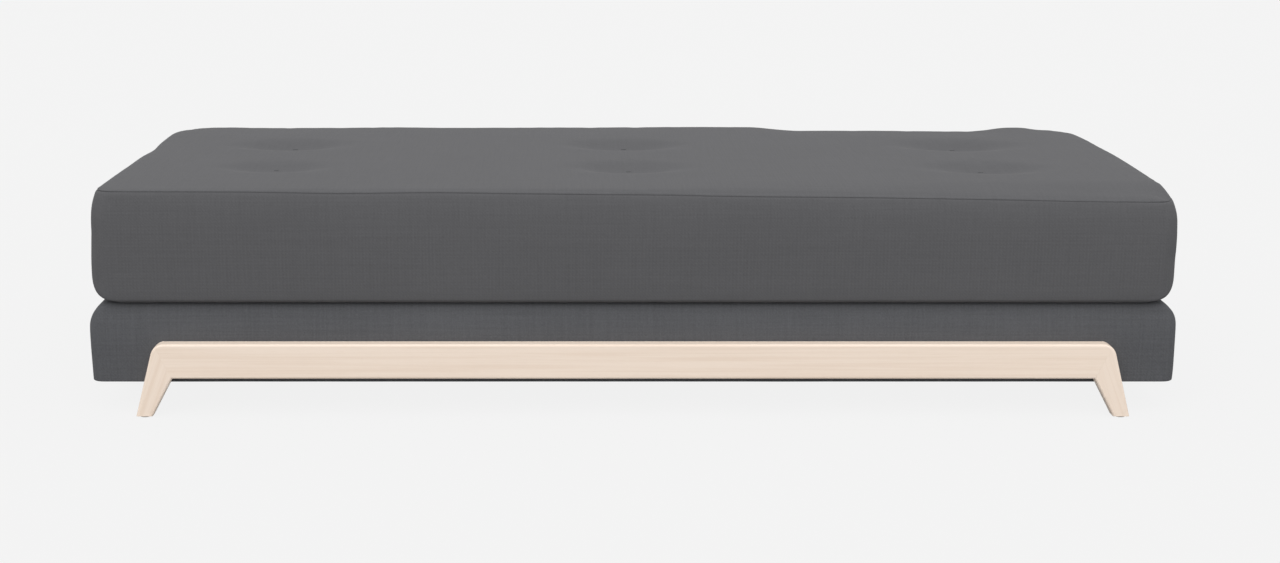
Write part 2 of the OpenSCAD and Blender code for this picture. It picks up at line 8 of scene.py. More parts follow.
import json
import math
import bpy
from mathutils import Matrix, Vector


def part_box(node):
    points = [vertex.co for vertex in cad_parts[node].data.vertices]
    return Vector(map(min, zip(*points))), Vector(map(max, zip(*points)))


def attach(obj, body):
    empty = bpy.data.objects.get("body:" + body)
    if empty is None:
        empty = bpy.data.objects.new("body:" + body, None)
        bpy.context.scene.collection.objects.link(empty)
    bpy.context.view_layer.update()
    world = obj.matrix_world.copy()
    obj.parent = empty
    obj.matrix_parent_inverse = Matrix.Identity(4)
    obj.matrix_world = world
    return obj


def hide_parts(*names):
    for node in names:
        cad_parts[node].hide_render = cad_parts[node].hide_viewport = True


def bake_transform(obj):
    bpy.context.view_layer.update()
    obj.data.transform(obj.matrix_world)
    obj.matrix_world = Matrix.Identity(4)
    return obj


bl_info = {
    "name": "Tufted Daybed Dressing",
    "version": (1, 0, 0),
    "blender": (4, 5, 0),
    "location": "View3D > Sidebar > Daybed",
    "description": "Builds the cloth, timber and stage of a folding daybed around its fixed frame",
    "category": "Object",
}

import bpy
import numpy as np
from mathutils import Vector, noise

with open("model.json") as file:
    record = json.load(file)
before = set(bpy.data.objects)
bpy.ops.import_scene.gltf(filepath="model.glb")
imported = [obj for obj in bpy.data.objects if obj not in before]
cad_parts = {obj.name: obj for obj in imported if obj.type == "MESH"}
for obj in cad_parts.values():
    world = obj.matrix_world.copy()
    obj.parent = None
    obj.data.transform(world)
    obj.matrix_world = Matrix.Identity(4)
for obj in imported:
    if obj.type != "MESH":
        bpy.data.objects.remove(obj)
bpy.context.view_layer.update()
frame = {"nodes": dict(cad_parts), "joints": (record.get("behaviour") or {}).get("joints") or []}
MM = 0.001

FOLD = next(joint for joint in frame["joints"] if joint["name"] == "mattress_fold")
FOLD_Y, FOLD_Z = FOLD["pos_m"][1], FOLD["pos_m"][2]


# Finishes: every colour is an sRGB hex value, and every pattern is set out in real millimetres.

def colour(hex_value):
    """Linear RGBA of an sRGB hex colour."""
    parts = [int(hex_value[i:i + 2], 16) / 255 for i in (1, 3, 5)]
    return [p / 12.92 if p <= 0.04045 else ((p + 0.055) / 1.055) ** 2.4 for p in parts] + [1.0]


def tinted(rgba, red, green=None, blue=None):
    """A linear colour times one share, or times one for each channel."""
    shares = (red, green or red, blue or red, 1.0)
    return [value * share for value, share in zip(rgba, shares)]


def add_node(tree, kind, inputs=(), **settings):
    """Adds a shader node, sets its properties, and sets or links its inputs."""
    node = tree.nodes.new(kind)
    for key, value in settings.items():
        setattr(node, key, value)
    for key, value in dict(inputs).items():
        if isinstance(value, bpy.types.NodeSocket):
            tree.links.new(value, node.inputs[key])
        else:
            node.inputs[key].default_value = value
    return node


def new_material(name):
    """An empty node material and its tree."""
    material = bpy.data.materials.new(name)
    material.use_nodes = True
    material.node_tree.nodes.clear()
    return material, material.node_tree


def surfaced(material, inputs):
    """Gives a material its surface, and hands the material back."""
    shader = add_node(material.node_tree, "ShaderNodeBsdfPrincipled", inputs)
    add_node(material.node_tree, "ShaderNodeOutputMaterial", {"Surface": shader.outputs[0]})
    return material


def millimetres(tree, stretch=(1, 1, 1), turn=0.0):
    """Object coordinates in millimetres, turned about Y and divided by the size of a feature."""
    place = add_node(tree, "ShaderNodeTexCoord").outputs["Object"]
    if turn:
        place = add_node(tree, "ShaderNodeVectorRotate", {"Vector": place, "Angle": turn},
                         rotation_type="Y_AXIS").outputs[0]
    return add_node(tree, "ShaderNodeMapping", {
        "Vector": place, "Scale": [1 / MM / s for s in stretch]}).outputs[0]


def axes(tree, period_mm):
    """The three object coordinates, scaled so that a wave repeats at each period."""
    return add_node(tree, "ShaderNodeSeparateXYZ", {
        0: millimetres(tree, [period_mm / math.tau] * 3)}).outputs


def clouds(tree, size_mm, detail, turn=0.0, **more):
    """Share from 0 to 1 out of noise whose features have a given size along each axis."""
    return add_node(tree, "ShaderNodeTexNoise", {
        "Vector": millimetres(tree, size_mm, turn), "Scale": 1, "Detail": detail,
        **more}).outputs["Fac"]


def computed(tree, operation, *values):
    """What one mathematical operation makes of its values."""
    return add_node(tree, "ShaderNodeMath", dict(enumerate(values)), operation=operation).outputs[0]


def cut_out(tree, value, low, high):
    """The stretch of a value between two bounds, as a share from 0 to 1."""
    return add_node(tree, "ShaderNodeMapRange", {0: value, 1: low, 2: high}).outputs[0]


def spread(tree, share, low, high):
    """A share from 0 to 1 laid out between two bounds."""
    return add_node(tree, "ShaderNodeMapRange", {0: share, 3: low, 4: high}).outputs[0]


def blended(tree, share, first, second):
    """A colour between two."""
    return add_node(tree, "ShaderNodeMix", {"Factor": share, 6: first, 7: second},
                    data_type="RGBA", clamp_factor=True).outputs[2]


def relief(tree, height, strength, depth_mm, invert=False):
    """The normal of a surface with a given depth of relief."""
    return add_node(tree, "ShaderNodeBump", {
        "Height": height, "Strength": strength, "Distance": depth_mm * MM},
        invert=invert).outputs[0]


def woven_upholstery(name, yarn, contrast):
    """Wool-blend upholstery, plain woven from melange yarn: matt, softly mottled, faintly slubbed.

    The real thread spacing is about 1.3 mm. The weave is drawn at 3.2 mm, so that it still shows.
    contrast is how far the darkest and the lightest yarn depart from the middle tone.
    """
    pitch_mm, fluff_mm, slub_mm, patch_mm = 3.2, 2.6, 3.4, 240
    weft_run_mm, warp_run_mm = 150, 110
    material, tree = new_material(name)
    mottle = clouds(tree, [fluff_mm] * 3, 3, Roughness=0.6)
    weft = clouds(tree, (weft_run_mm, slub_mm, slub_mm), 2)
    warp = clouds(tree, (slub_mm, warp_run_mm, warp_run_mm), 2)
    patch = clouds(tree, [patch_mm] * 3, 2)
    slub = computed(tree, "ADD", weft, warp)
    tone = computed(tree, "MULTIPLY_ADD", slub, 0.42, mottle)
    tone = computed(tree, "MULTIPLY_ADD", patch, 0.25, tone)
    shade = add_node(tree, "ShaderNodeValToRGB", {"Fac": cut_out(tree, tone, 0.56, 1.54)})
    ramp = shade.color_ramp
    ramp.elements[0].position, ramp.elements[0].color = 0.1, tinted(yarn, 1 - contrast)
    ramp.elements[1].position, ramp.elements[1].color = 0.9, tinted(yarn, 1 + contrast)
    ramp.elements.new(0.5).color = yarn
    over = [computed(tree, "SINE", axis) for axis in axes(tree, 2 * pitch_mm)]
    pairs = [computed(tree, "MULTIPLY", over[a], over[b]) for a, b in ((0, 1), (0, 2), (1, 2))]
    weave = computed(tree, "ADD", computed(tree, "ADD", *pairs[:2]), pairs[2])
    height = computed(tree, "MULTIPLY_ADD", slub, 0.8, weave)
    return surfaced(material, {
        "Base Color": shade.outputs["Color"], "Roughness": spread(tree, mottle, 0.88, 0.98),
        "IOR": 1.45, "Specular IOR Level": 0.15, "Sheen Weight": 0.04, "Sheen Roughness": 0.5,
        "Normal": relief(tree, height, 0.15, 0.3)})


def webbing(name, thread_dark, thread_light):
    """Cotton webbing, close ribbed across its width: dull, with a dark line between the ribs."""
    rib_mm, fluff_mm = 2.2, 1.1
    material, tree = new_material(name)
    rib = computed(tree, "SINE", axes(tree, rib_mm)[0])
    tone = computed(tree, "MULTIPLY_ADD", rib, 0.2, clouds(tree, [fluff_mm] * 3, 3))
    return surfaced(material, {
        "Base Color": blended(tree, tone, colour(thread_dark), colour(thread_light)),
        "Roughness": 0.9, "Specular IOR Level": 0.2, "Normal": relief(tree, tone, 0.6, 0.4)})


def lacquered_ash(name, pale, turn=0.0):
    """Pale ash under clear matt lacquer, planed and sanded: long even grain with fine open pores.

    turn is the lean of the grain from the X axis, so that it runs along each leg. Pores are about
    0.2 mm wide, and are drawn at 0.9 mm.
    """
    pore_mm, pore_run_mm, ring_mm, ring_run_mm, board_mm, board_run_mm = 0.9, 26, 7.0, 430, 60, 520
    material, tree = new_material(name)
    board = clouds(tree, (board_run_mm, board_mm, board_mm), 2, turn)
    rings = clouds(tree, (ring_run_mm, ring_mm, ring_mm), 3, turn, Roughness=0.55, Distortion=0.25)
    pores = clouds(tree, (pore_run_mm, pore_mm, pore_mm), 1, turn)
    pore = cut_out(tree, pores, 0.58, 0.74)
    tone = computed(tree, "MULTIPLY_ADD", pore, 0.3, cut_out(tree, rings, 0.42, 0.78))
    tone = computed(tree, "MULTIPLY_ADD", board, 0.4, tone)
    return surfaced(material, {
        "Base Color": blended(tree, tone, pale, tinted(pale, 0.92, 0.89, 0.86)),
        "Roughness": spread(tree, tone, 0.5, 0.62), "IOR": 1.5, "Specular IOR Level": 0.35,
        "Normal": relief(tree, pore, 0.15, 0.12, invert=True)})


def birch_plywood(name, face, glue_line):
    """Sanded birch plywood: pale faces and thin darker glue lines, 1.5 mm apart, on the edges."""
    ply_mm, grain_mm, grain_run_mm = 1.5, 8, 220
    material, tree = new_material(name)
    line = computed(tree, "SINE", axes(tree, 2 * ply_mm)[2])
    grain = clouds(tree, (grain_mm, grain_run_mm, grain_mm), 4)
    tone = computed(tree, "MULTIPLY_ADD", line, 0.16, grain)
    return surfaced(material, {
        "Base Color": blended(tree, tone, colour(face), colour(glue_line)), "Roughness": 0.62,
        "IOR": 1.5})


def open_cell_foam(name, body, cell):
    """Cut polyurethane foam: dull cream with fine open cells, drawn 1.4 mm across."""
    cell_mm = 1.4
    material, tree = new_material(name)
    cells = add_node(tree, "ShaderNodeTexVoronoi", {
        "Vector": millimetres(tree, [cell_mm] * 3), "Scale": 1}).outputs["Distance"]
    return surfaced(material, {
        "Base Color": blended(tree, cells, colour(cell), colour(body)), "Roughness": 0.95,
        "Specular IOR Level": 0.15, "Normal": relief(tree, cells, 0.5, 0.4)})


def pressed_fibre(name, dark, light, fibre_mm):
    """Felt or spun-bonded cloth: a dull mat of short fibres laid every way."""
    run_mm, layer_mm = 9 * fibre_mm, 3 * fibre_mm
    material, tree = new_material(name)
    mats = [clouds(tree, size, 3, Distortion=1.2)
            for size in ((run_mm, fibre_mm, layer_mm), (fibre_mm, run_mm, layer_mm))]
    tone = computed(tree, "MAXIMUM", *mats)
    return surfaced(material, {
        "Base Color": blended(tree, tone, colour(dark), colour(light)), "Roughness": 0.95,
        "Specular IOR Level": 0.15, "Normal": relief(tree, tone, 0.5, 0.3)})


def moulded_polypropylene(name, body, high):
    """Injection-moulded polypropylene: satin black with a fine spark-eroded grain."""
    grain_mm = 0.8
    material, tree = new_material(name)
    grain = clouds(tree, [grain_mm] * 3, 2)
    return surfaced(material, {
        "Base Color": blended(tree, grain, colour(body), colour(high)),
        "Roughness": spread(tree, grain, 0.42, 0.58), "IOR": 1.49,
        "Normal": relief(tree, grain, 0.3, 0.1)})


def zinc_plate(name, bright, dull):
    """Bright zinc on turned and rolled steel: cool grey metal, cloudy where it has been handled."""
    cloud_mm = 5
    material, tree = new_material(name)
    cloud = clouds(tree, [cloud_mm] * 3, 3)
    return surfaced(material, {
        "Base Color": blended(tree, cloud, colour(bright), colour(dull)),
        "Roughness": spread(tree, cloud, 0.26, 0.44), "Metallic": 1.0})


def background_rays(tree):
    """1 for what the camera sees, straight or through gloss and glass, 0 for all other light."""
    path = add_node(tree, "ShaderNodeLightPath").outputs
    seen = computed(tree, "MAXIMUM", path["Is Camera Ray"], path["Is Glossy Ray"])
    return computed(tree, "MAXIMUM", seen, path["Is Transmission Ray"])


def painted_floor(name, paint, shown, keep_shadow):
    """Matt painted studio floor. What the camera sees is lifted to the shown grey, so that the
    object's shadow stays faint and no more light falls on the object."""
    cloud_mm = 900
    material, tree = new_material(name)
    shade = blended(tree, clouds(tree, [cloud_mm] * 3, 2), tinted(paint, 0.97), tinted(paint, 1.03))
    matt = add_node(tree, "ShaderNodeBsdfDiffuse", {"Color": shade, "Roughness": 0.4})
    glow = add_node(tree, "ShaderNodeEmission", {"Color": shown, "Strength": 1.055})
    share = computed(tree, "MULTIPLY", background_rays(tree), 1 - keep_shadow)
    both = add_node(tree, "ShaderNodeMixShader", {
        0: share, 1: matt.outputs[0], 2: glow.outputs[0]})
    add_node(tree, "ShaderNodeOutputMaterial", {"Surface": both.outputs[0]})
    return material


# Shared shapes

def new_piece(name, points, faces, material, smooth=True):
    """A mesh object from its points and faces, with one finish."""
    mesh = bpy.data.meshes.new(name)
    mesh.from_pydata([tuple(p) for p in points], [], faces)
    mesh.validate()
    mesh.polygons.foreach_set("use_smooth", [smooth] * len(mesh.polygons))
    mesh.materials.append(material)
    piece = bpy.data.objects.new(name, mesh)
    bpy.context.scene.collection.objects.link(piece)
    return piece


def dress_nodes(names, material):
    """Gives carried-over nodes their finish."""
    for name in names:
        mesh = frame["nodes"][name].data
        mesh.materials.clear()
        mesh.materials.append(material)


def smooth_step(value, start=0.0, span=1.0):
    """Eases from 0 to 1 as a value passes from a start over a span."""
    t = np.clip((value - start) / span, 0.0, 1.0)
    return t * t * (3 - 2 * t)


def lattice_lines(half, corner, cell):
    """Lines from one side of a cushion to the other, evenly apart inside its corner radius."""
    corner_steps = 4
    count = round(2 * (half - corner) / cell)
    inner = np.linspace(corner - half, half - corner, count + 1)
    edge = half - corner + corner * np.arange(1, corner_steps + 1) / corner_steps
    return np.concatenate([-edge[::-1], inner, edge])


class Form:
    """A box of cloth set out on a lattice: rings up its border, closed above and, if wanted, below.

    A level of the border is (height, rise, inset, lip). Its rise and inset are eased, so that edges
    are rounded in full at the ends and tightly at the front and the back, and its lip is a further
    inset that isn't eased. tight is the share of that rounding that the front and the back keep.
    corners holds the radius of the front corners, and those of the rear left and the rear right.
    """

    def __init__(self, half, corners, cell, levels, tight):
        self.half, self.corners, self.levels, self.tight = half, corners, levels, tight
        self.xs = lattice_lines(half[0], corners[0], cell)
        self.ys = lattice_lines(half[1], corners[0], cell)
        nx, ny = self.nx, self.ny = len(self.xs) - 1, len(self.ys) - 1
        self.rim = ([(i, 0) for i in range(nx)] + [(nx, j) for j in range(ny)]
                    + [(i, ny) for i in range(nx, 0, -1)] + [(0, j) for j in range(ny, 0, -1)])
        self.points, self.faces, self.rings = [], [], []

    def outward(self, i, j):
        """For a lattice crossing: the centre of the nearest corner arc, the way out from it to the
        crossing, and the arc's radius."""
        x, y = self.xs[i], self.ys[j]
        front, rear_left, rear_right = self.corners
        rear = rear_left + (rear_right - rear_left) * smooth_step(0.5 + 0.5 * x / self.half[0])
        r = front + (rear - front) * smooth_step(y / self.half[1], -0.5)
        qx = min(max(x, r - self.half[0]), self.half[0] - r)
        qy = min(max(y, r - self.half[1]), self.half[1] - r)
        return qx, qy, x - qx, y - qy, r

    def ease(self, i, j):
        """Share of an edge's height at a crossing: all of it where the outline faces an end."""
        dx, dy = self.outward(i, j)[2:4]
        endwise = dx * dx / (dx * dx + dy * dy) if dx or dy else 0.0
        return self.tight + (1 - self.tight) * endwise

    def plan(self, i, j, level, draw=(0.0, 0.0)):
        """A lattice crossing moved onto the rounded outline of a level, and drawn in further."""
        inset, lip = level[2:]
        qx, qy, dx, dy, r = self.outward(i, j)
        reach = max(abs(dx), abs(dy)) / (math.hypot(dx, dy) or 1.0)
        shrink_x = (inset + lip + draw[0]) / (self.half[0] - r)
        shrink_y = (inset * self.tight + lip + draw[1]) / (self.half[1] - r)
        return qx * (1 - shrink_x) + dx * reach, qy * (1 - shrink_y) + dy * reach

    def build(self, border, lid, floor=None):
        """Sets out the rings, the lid and the floor. Each argument gives a point's place."""
        for level in self.levels:
            start = len(self.points)
            self.points += [border(level, *crossing) for crossing in self.rim]
            self.rings.append(list(range(start, len(self.points))))
        for lower, upper in zip(self.rings, self.rings[1:]):
            for k in range(len(self.rim)):
                n = (k + 1) % len(self.rim)
                self.faces.append((lower[k], lower[n], upper[n], upper[k]))
        self.lid = self.fill(self.rings[-1], lid, False)
        self.floor = self.fill(self.rings[0], floor, True) if floor else {}

    def fill(self, ring, place, flipped):
        """A grid of quads inside a ring, and the index of each lattice crossing on it."""
        index = dict(zip(self.rim, ring))
        for j in range(1, self.ny):
            for i in range(1, self.nx):
                index[i, j] = len(self.points)
                self.points.append(place(i, j))
        for j in range(self.ny):
            for i in range(self.nx):
                quad = (index[i, j], index[i + 1, j], index[i + 1, j + 1], index[i, j + 1])
                self.faces.append(quad[::-1] if flipped else quad)
        return index


def crease(piece, ring):
    """Keeps the fold along a ring sharp when the mesh is rounded."""
    ends = set(ring)
    mesh = piece.data
    sharp = mesh.attributes.new("crease_edge", "FLOAT", "EDGE")
    sharp.data.foreach_set("value", [
        float(edge.vertices[0] in ends and edge.vertices[1] in ends) for edge in mesh.edges])


def sweep(points, faces, path, radius):
    """Adds a closed round tube along a path."""
    sides, aside = 6, (0.31, 0.52, 0.79)
    path = np.asarray(path, float)
    along = np.gradient(path, axis=0)
    along /= np.linalg.norm(along, axis=1)[:, None]
    normal = np.cross(along[0], aside)
    start = len(points)
    for place, run in zip(path, along):
        normal = normal - run * (normal @ run)
        normal /= np.linalg.norm(normal)
        third = np.cross(run, normal)
        points += [place + radius * (math.cos(g) * normal + math.sin(g) * third)
                   for g in (math.tau * k / sides for k in range(sides))]
    last = start + (len(path) - 1) * sides
    for ring in range(start, last, sides):
        faces += [(ring + k, ring + (k + 1) % sides, ring + sides + (k + 1) % sides,
                   ring + sides + k) for k in range(sides)]
    faces.append(tuple(range(start + sides - 1, start - 1, -1)))
    faces.append(tuple(range(last, last + sides)))


def quarter(steps):
    """Angles over a quarter turn."""
    return [math.pi / 2 * k / steps for k in range(steps + 1)]


def coil(turns):
    """Shares of the way along a coil, each with its angle."""
    steps = 8
    return [(k / (turns * steps), math.tau * k / steps) for k in range(turns * steps + 1)]


def let_out(piece, held, pressure, caps, frames, slack):
    """Inflates cloth over its filling, with held points pinned, and keeps every point within its
    cap of where it was cut."""
    group = piece.vertex_groups.new(name="held")
    group.add(sorted(held), 1.0, "REPLACE")
    before = np.array([v.co for v in piece.data.vertices])
    cloth = piece.modifiers.new("cloth", "CLOTH")
    cloth.settings.quality = 4
    cloth.settings.mass = 0.35
    cloth.settings.tension_stiffness = 25
    cloth.settings.compression_stiffness = 12
    cloth.settings.shear_stiffness = 8
    cloth.settings.bending_stiffness = 0.6
    cloth.settings.shrink_min = -slack
    cloth.settings.use_pressure = True
    cloth.settings.uniform_pressure_force = pressure
    cloth.settings.vertex_group_mass = "held"
    cloth.settings.effector_weights.gravity = 0
    cloth.collision_settings.use_collision = False
    cloth.point_cache.frame_start, cloth.point_cache.frame_end = 1, frames
    for number in range(1, frames + 1):
        bpy.context.scene.frame_set(number)
    settled = piece.evaluated_get(bpy.context.evaluated_depsgraph_get())
    after = np.array([v.co for v in settled.data.vertices])
    piece.modifiers.remove(cloth)
    piece.vertex_groups.remove(group)
    bpy.context.scene.frame_set(1)
    moved = after - before
    share = np.maximum(np.linalg.norm(moved, axis=1), 1e-9) / caps
    moved *= (np.tanh(share) / share)[:, None]
    piece.data.vertices.foreach_set("co", (before + moved).ravel())
    piece.data.update()


def keep_below(piece, limit):
    """Flattens what stands higher than the limit, so that a folded cushion clears the floor."""
    margin = 0.004
    for vertex in piece.data.vertices:
        over = vertex.co.z - limit + margin
        if over > 0:
            vertex.co.z = limit - margin + margin * math.tanh(over / margin)


def subdivide(piece):
    """Rounds a finished mesh with one level of a subdivision surface."""
    modifier = piece.modifiers.new("rounding", "SUBSURF")
    modifier.levels = modifier.render_levels = 1


# Properties: the sizes and colours that a user would change

class DaybedMattress(bpy.types.PropertyGroup):
    """Sizes of the mattress cover."""
    cell: bpy.props.FloatProperty(
        name="Cloth cell", description="Size of a cell of the cloth mesh", default=0.0125,
        min=0.006, max=0.05, unit="LENGTH")
    crown: bpy.props.FloatProperty(
        name="Crown", description="Rise of the top over its seam", default=0.005, unit="LENGTH")
    tuft_depth: bpy.props.FloatProperty(
        name="Tuft depth", description="Depth that each tie draws", default=0.0132,
        unit="LENGTH")
    tuft_reach: bpy.props.FloatProperty(
        name="Tuft reach", description="Reach of each dimple along the mattress", default=0.165,
        unit="LENGTH")
    tuft_radius: bpy.props.FloatProperty(
        name="Tuft radius", description="Reach of each dimple across the mattress", default=0.09,
        unit="LENGTH")
    seam_depth: bpy.props.FloatProperty(
        name="Seam depth", description="How far the seam sinks between its panels",
        default=0.002, unit="LENGTH")
    slack: bpy.props.FloatProperty(
        name="Slack", description="Share by which the cloth is cut too large", default=0.006)


class DaybedFinish(bpy.types.PropertyGroup):
    """Colours of the cloth and the timber."""
    fabric: bpy.props.FloatVectorProperty(
        name="Fabric", description="Middle tone of the upholstery yarn", subtype="COLOR", size=4,
        default=colour("#575759"), min=0, max=1)
    timber: bpy.props.FloatVectorProperty(
        name="Timber", description="Paler tone of the leg frames", subtype="COLOR", size=4,
        default=colour("#f0e0d1"), min=0, max=1)


class DaybedStage(bpy.types.PropertyGroup):
    """Floor, light and camera."""
    sun: bpy.props.FloatProperty(
        name="Key light", description="Strength of the soft key light", default=1.75)
    sky: bpy.props.FloatProperty(
        name="Sky", description="Strength of the even light from all round", default=0.85)
    backdrop: bpy.props.FloatVectorProperty(
        name="Backdrop", description="Grey that the floor and the air show", subtype="COLOR",
        size=4, default=colour("#f3f3f3"), min=0, max=1)
    shadow: bpy.props.FloatProperty(
        name="Shadow", description="Share of the floor's shadow that shows", default=0.09,
        min=0, max=1, subtype="FACTOR")


# Operators: one for each piece or group of like pieces, and one for the stage

class MattressShape:
    """Sizes of the mattress, from the frame, and the way in which its top has settled."""

    def __init__(self, sizes):
        half_bar, knot_r, cad_crown = 5 * MM, 3.5 * MM, 9 * MM
        low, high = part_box("mattress_cover")
        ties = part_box("tuft_ties")
        across = (ties[1][0] - half_bar, 0.0, ties[0][0] + half_bar)
        deep = (ties[0][1] + knot_r, ties[1][1] - knot_r)
        self.sizes = sizes
        self.half = ((high[0] - low[0]) / 2, (high[1] - low[1]) / 2)
        self.bottom, self.seam = low[2], high[2] - cad_crown
        self.thick = self.seam - self.bottom
        self.knot = ties[0][2]
        self.tufts = [(x, y) for x in across for y in deep]

    def rise(self, x, y):
        """Height of the top over its seam: a crown with six dimples, wider along the mattress than
        across it, whose middles lie ahead of the ties."""
        end_power, side_power, ahead = 4, 10, 0.02
        u, v = x / self.half[0], y / self.half[1]
        top = self.sizes.crown * (1 - u ** end_power) * (1 - v ** side_power)
        reach, radius = self.sizes.tuft_reach, self.sizes.tuft_radius
        near = min(math.hypot((x - tuft[0]) / reach, (y - tuft[1] + ahead) / radius)
                   for tuft in self.tufts)
        return top - (self.sizes.tuft_depth * (1 - near ** 2) ** 2 if near < 1 else 0.0)

    def sag(self, x, y):
        """How far the top and its seam stand over where they were cut. The front falls from left to
        right, the rear dips right of its middle and falls at its right corner, and all of it
        ripples a little. u and v run from -1 to 1 along the mattress and from front to rear."""
        slope, bend, corner_fall, dip_depth = 0.0105, 0.005, 0.005, 0.0087
        raised, raised_front, ripple, ripples_per_metre, seed = 0.0016, 0.0017, 0.002, 5.5, 2.6
        u, v = x / self.half[0], y / self.half[1]
        rear = smooth_step(v, 0.5, 0.5)
        left = min(1.0, max(0.0, (0.9 - v) / 1.9))
        right = smooth_step(-v, 0.72, 0.28)
        fall = (left if u < 0 else right) * (-slope * u - bend * u * u)
        fall -= corner_fall * smooth_step(u, 0.88, 0.06) * rear
        dip = smooth_step(u, 0.28, 0.12) * smooth_step(-u, -0.87, 0.1) * rear
        wave = ripple * noise.noise(Vector((x * ripples_per_metre, y * ripples_per_metre, seed)))
        return fall - dip_depth * dip + wave + raised + raised_front * (1 - v)

    def drift(self, x, y, share):
        """How far the cover has crept along at a share of its height. The left end leans in towards
        the top and is caught in at one place, and the right end swells out at its rear half."""
        left_foot, left_top, left_rear = -0.0012, 0.0024, 0.0015
        right_foot, right_top, right_rear = 0.0010, 0.0004, 0.0130
        catch, catch_y, catch_reach = 0.006, 0.09, 0.07
        u, v = x / self.half[0], y / self.half[1]
        upper = smooth_step(share, 0.3, 0.35)
        left = left_foot + left_top * upper + left_rear * upper * smooth_step(v, -0.8, 0.6)
        right = right_foot + right_top * upper + right_rear * upper * smooth_step(v, -1.1, 1.3)
        caught = smooth_step(-u, 0.8, 0.2) * math.exp(-((y - catch_y) / catch_reach) ** 2) * share
        return (left + right) / 2 + u * (right - left) / 2 + catch * caught


class DAYBED_OT_mattress(bpy.types.Operator):
    """Cuts the mattress cover and lets it out over its core, held down by six ties"""
    bl_idname = "daybed.mattress"
    bl_label = "Mattress cover and core"

    # Inset and height of the lower edge, and of the upper one
    low_in, low_h, high_in, high_h = 0.0265, 0.044, 0.010, 0.046
    corners, tight = (0.036, 0.095, 0.095), 0.2

    def execute(self, context):
        sizes = context.scene.daybed_mattress
        shape = MattressShape(sizes)
        levels, seams = self.border_levels(shape.thick, sizes)
        form = self.cut(shape, levels, sizes.cell, 0.0)
        cloth = woven_upholstery("mattress_weave", list(context.scene.daybed_finish.fabric),
                                 contrast=0.115)
        cover = new_piece("mattress_cover_cloth", form.points, form.faces, cloth)
        self.settle(cover, form, shape, seams)
        floor_gap = 0.3 * MM
        keep_below(cover, 2 * FOLD_Z - floor_gap)
        crease(cover, [i for s in seams for i in form.rings[s]])
        subdivide(cover)
        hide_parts("mattress_cover", "mattress_bottom_panel")
        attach(cover, "mattress")
        self.fill_core(shape)
        return {"FINISHED"}

    def border_levels(self, thick, sizes):
        """Levels from the cloth turned in under the mattress to the top seam in its groove, and the
        numbers of the two levels that are seams. Both edges are set by the insets and heights that
        head this class."""
        lip, lift, tuck, below = 0.003, 0.002, 0.005, 0.004
        low_in, low_h, high_in, high_h = self.low_in, self.low_h, self.high_in, self.high_h
        levels = [(0.0, 0.0, low_in, tuck), (lift * 0.2, 0.0, low_in, tuck / 2),
                  (lift * 0.6, 0.0, low_in, tuck / 6)]
        levels += [(lift * math.cos(g), low_h * (1 - math.cos(g)), low_in * (1 - math.sin(g)), 0.0)
                   for g in [0.0, 0.16] + quarter(5)[1:]]
        count = round((thick - high_h - low_h / 2) / sizes.cell)
        levels += [((thick - high_h) * t, low_h * (1 - t), 0.0, 0.0)
                   for t in (k / count for k in range(1, count))]
        levels += [(thick - high_h * (1 - s), 0.0, high_in * s * s, 0.0)
                   for s in (0, 0.25, 0.5, 0.75, 0.88)]
        levels += [(thick - below, 0.0, high_in * 0.85, sizes.seam_depth),
                   (thick - 0.7 * below, 0.0, high_in * 0.9, 0.0),
                   (thick - 0.2 * below, 0.0, high_in, 0.25 * lip),
                   (thick + 0.2 * MM, 0.0, high_in, lip)]
        return levels, (3, len(levels) - 4)

    def settle(self, cover, form, shape, seams):
        """Lets the cloth out over its filling, held at its seams, its underside and its ties. It
        may move less at the border than on the top, and hardly at all close to a tie."""
        border_cap, top_cap, least, tie_points, pressure, frames = 0.0008, 0.003, 0.08, 4, 3.0, 20
        held = set(form.floor.values()).union(*(form.rings[s] for s in (0, *seams)))
        lid_ids = np.array(list(form.lid.values()))
        flat = np.array(form.points)[lid_ids, :2]
        away = np.array([np.linalg.norm(flat - np.array(tuft), axis=1) for tuft in shape.tufts])
        for row in away:
            held.update(int(i) for i in lid_ids[np.argsort(row)[:tie_points]])
        caps = np.full(len(form.points), border_cap)
        near = np.clip(away.min(axis=0) / shape.sizes.tuft_radius, least, 1.0)
        caps[lid_ids] = top_cap * near ** 2
        let_out(cover, held, pressure, caps, frames, shape.sizes.slack)

    def cut(self, shape, levels, cell, gap):
        """Sets out a closed form that follows the settled mattress, a gap inside its cloth."""
        end_draw, top_draw, foot_draw, bulge = 0.003, 0.0035, 0.0015, 0.005
        form = Form(shape.half, self.corners, cell, levels, self.tight)

        def draw(share, j):
            """How far the ends and the sides lean in at a share of the height. The front bulges,
            and the rear doesn't, so that it clears the leg frame when the mattress is folded."""
            upper, lower = max(0.0, 2 * share - 1) ** 2, max(0.0, 1 - 2 * share) ** 2
            front = smooth_step(-form.ys[j] / shape.half[1], -0.5)
            across = top_draw * upper + foot_draw * lower - bulge * (1 - upper) * front
            return end_draw * upper, across

        def border(level, i, j):
            h = level[0] + level[1] * form.ease(i, j)
            share = h / shape.thick
            x, y = form.plan(i, j, level, draw(share, j))
            return (x + shape.drift(x, y, share), y,
                    shape.bottom + h + shape.sag(x, y) * share ** 2)

        def lid(i, j):
            x, y = form.plan(i, j, levels[-1], draw(1.0, j))
            x += shape.drift(x, y, 1.0)
            return x, y, shape.seam + shape.rise(x, y) + shape.sag(x, y) - gap

        def floor(i, j):
            x, y = form.plan(i, j, levels[0], draw(0.0, j))
            return x + shape.drift(x, y, 0.0), y, shape.bottom + gap

        form.build(border, lid, floor)
        return form

